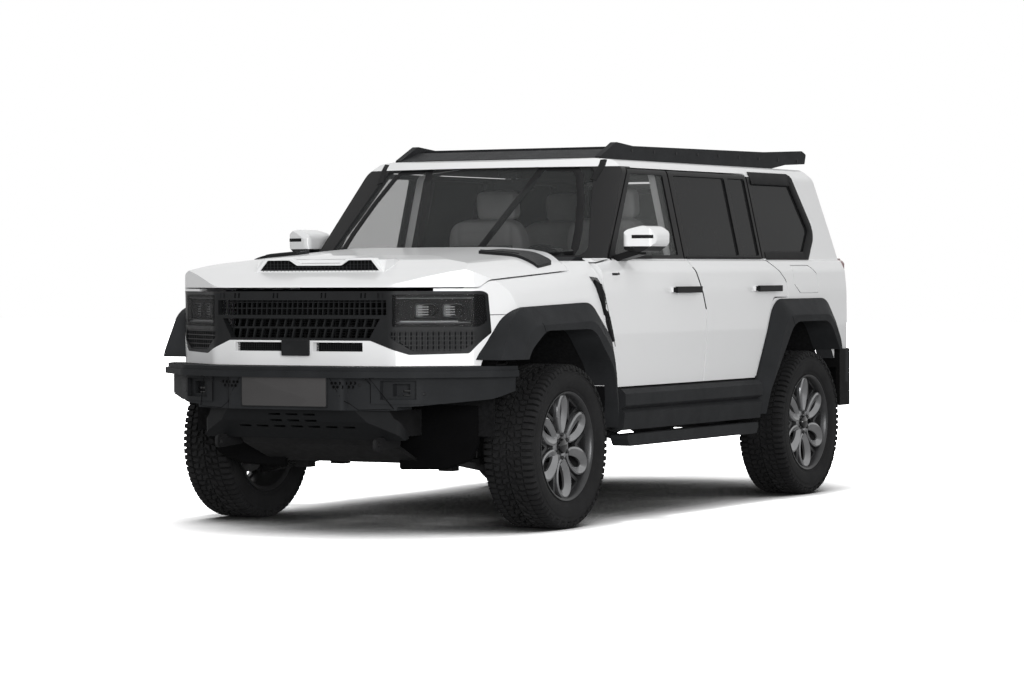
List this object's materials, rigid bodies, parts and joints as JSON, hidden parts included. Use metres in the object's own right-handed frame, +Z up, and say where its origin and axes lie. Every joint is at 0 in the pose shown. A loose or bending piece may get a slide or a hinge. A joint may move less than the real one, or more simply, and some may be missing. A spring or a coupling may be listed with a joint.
{
  "type": "lifted off-road 4x4",
  "caption": "Lifted three-row off-road 4x4 with a separate chassis, opening doors, bonnet and side-hinged tailgate, steered front wheels and free-turning wheels.",
  "frame": {"origin": "middle of the vehicle's length and width, on the ground under it", "axes": "+X forward, +Y to the vehicle's left, +Z up"},
  "size_m": [5.19, 2.27, 2.0076],
  "materials": {
    "body_paint": "gloss",
    "dark_trim": "matte",
    "gloss_trim": "gloss",
    "tyre_rubber": "matte",
    "alloy": "satin",
    "chassis_steel": "satin",
    "cast": "matte",
    "clear_glass": "gloss",
    "dark_glass": "gloss",
    "lens": "gloss",
    "lamp_trim": "gloss",
    "tail_lens": "gloss",
    "seat_leather": "matte",
    "cabin_trim": "matte",
    "floor_paint": "matte"
  },
  "bodies": {
    "root": {"arch_flares": "dark_trim", "arch_liners": "dark_trim", "body_shell": "body_paint", "cowl_panel": "dark_trim", "dashboard": "cabin_trim", "driveline": "cast", "engine_block": "cast", "exhaust": "cast", "fascia": "body_paint", "floor_pan": "floor_paint", "front_bumper": "dark_trim", "front_suspension": "chassis_steel", "front_wings": "body_paint", "fuel_tank": "dark_trim", "grille": "dark_trim", "headlamp_housings": "lamp_trim", "headlamp_lenses": "lens", "ladder_frame": "chassis_steel", "quarter_glass": "dark_glass", "rear_axle": "chassis_steel", "rear_bumper": "dark_trim", "roof_rack": "dark_trim", "seats": "seat_leather", "side_cladding": "dark_trim", "side_steps": "chassis_steel", "skid_plate": "chassis_steel", "tail_lamps": "tail_lens", "tow_hooks": "chassis_steel", "windscreen": "clear_glass", "wing_vents": "gloss_trim"},
    "steer_left": {"knuckle_left": "cast"},
    "steer_right": {"knuckle_right": "cast"},
    "tail_door": {"tailgate": "body_paint", "tailgate_glass": "dark_glass", "spare_cover": "dark_trim"},
    "bonnet_lid": {"bonnet": "body_paint", "bonnet_vents": "dark_trim"},
    "front_door_left_panel": {"front_door_left": "body_paint", "front_door_glass_left": "clear_glass", "mirror_left": "body_paint"},
    "rear_door_left_panel": {"rear_door_left": "body_paint", "rear_door_glass_left": "dark_glass"},
    "wheel_front_left": {"tyre_front_left": "tyre_rubber", "rim_front_left": "alloy"},
    "wheel_rear_left": {"tyre_rear_left": "tyre_rubber", "rim_rear_left": "alloy"},
    "front_door_right_panel": {"front_door_right": "body_paint", "front_door_glass_right": "clear_glass", "mirror_right": "body_paint"},
    "rear_door_right_panel": {"rear_door_right": "body_paint", "rear_door_glass_right": "dark_glass"},
    "wheel_front_right": {"tyre_front_right": "tyre_rubber", "rim_front_right": "alloy"},
    "wheel_rear_right": {"tyre_rear_right": "tyre_rubber", "rim_rear_right": "alloy"}
  },
  "joints": [
    {"name": "steer_left_turn", "type": "hinge", "parent": "root", "child": "steer_left", "pos_m": [1.55, 0.8, 0.4135], "axis": [0, 0, 1], "range_deg": [-30, 30]},
    {"name": "wheel_front_left_spin", "type": "hinge", "parent": "steer_left", "child": "wheel_front_left", "pos_m": [1.55, 0.9, 0.4135], "axis": [0, 1, 0], "continuous": true},
    {"name": "wheel_rear_left_spin", "type": "hinge", "parent": "root", "child": "wheel_rear_left", "pos_m": [-1.37, 0.9, 0.4135], "axis": [0, 1, 0], "continuous": true},
    {"name": "front_door_left_swing", "type": "hinge", "parent": "root", "child": "front_door_left_panel", "pos_m": [1.066, 0.99, 1], "axis": [0, 0, -1], "range_deg": [0, 65]},
    {"name": "rear_door_left_swing", "type": "hinge", "parent": "root", "child": "rear_door_left_panel", "pos_m": [0.015, 0.965, 1], "axis": [0, 0, -1], "range_deg": [0, 65]},
    {"name": "steer_right_turn", "type": "hinge", "parent": "root", "child": "steer_right", "pos_m": [1.55, -0.8, 0.4135], "axis": [0, 0, 1], "range_deg": [-30, 30]},
    {"name": "wheel_front_right_spin", "type": "hinge", "parent": "steer_right", "child": "wheel_front_right", "pos_m": [1.55, -0.9, 0.4135], "axis": [0, 1, 0], "continuous": true},
    {"name": "wheel_rear_right_spin", "type": "hinge", "parent": "root", "child": "wheel_rear_right", "pos_m": [-1.37, -0.9, 0.4135], "axis": [0, 1, 0], "continuous": true},
    {"name": "front_door_right_swing", "type": "hinge", "parent": "root", "child": "front_door_right_panel", "pos_m": [1.066, -0.99, 1], "axis": [0, 0, 1], "range_deg": [0, 65]},
    {"name": "rear_door_right_swing", "type": "hinge", "parent": "root", "child": "rear_door_right_panel", "pos_m": [0.015, -0.965, 1], "axis": [0, 0, 1], "range_deg": [0, 65]},
    {"name": "bonnet_swing", "type": "hinge", "parent": "root", "child": "bonnet_lid", "pos_m": [1.215, 0, 1.352], "axis": [0, -1, 0], "range_deg": [0, 55]},
    {"name": "tail_door_swing", "type": "hinge", "parent": "root", "child": "tail_door", "pos_m": [-2.185, -0.8, 1.1], "axis": [0, 0, 1], "range_deg": [0, 85]}
  ],
  "couplings": [
    {"joint": "steer_right_turn", "follows": "steer_left_turn", "ratio": 1}
  ]
}
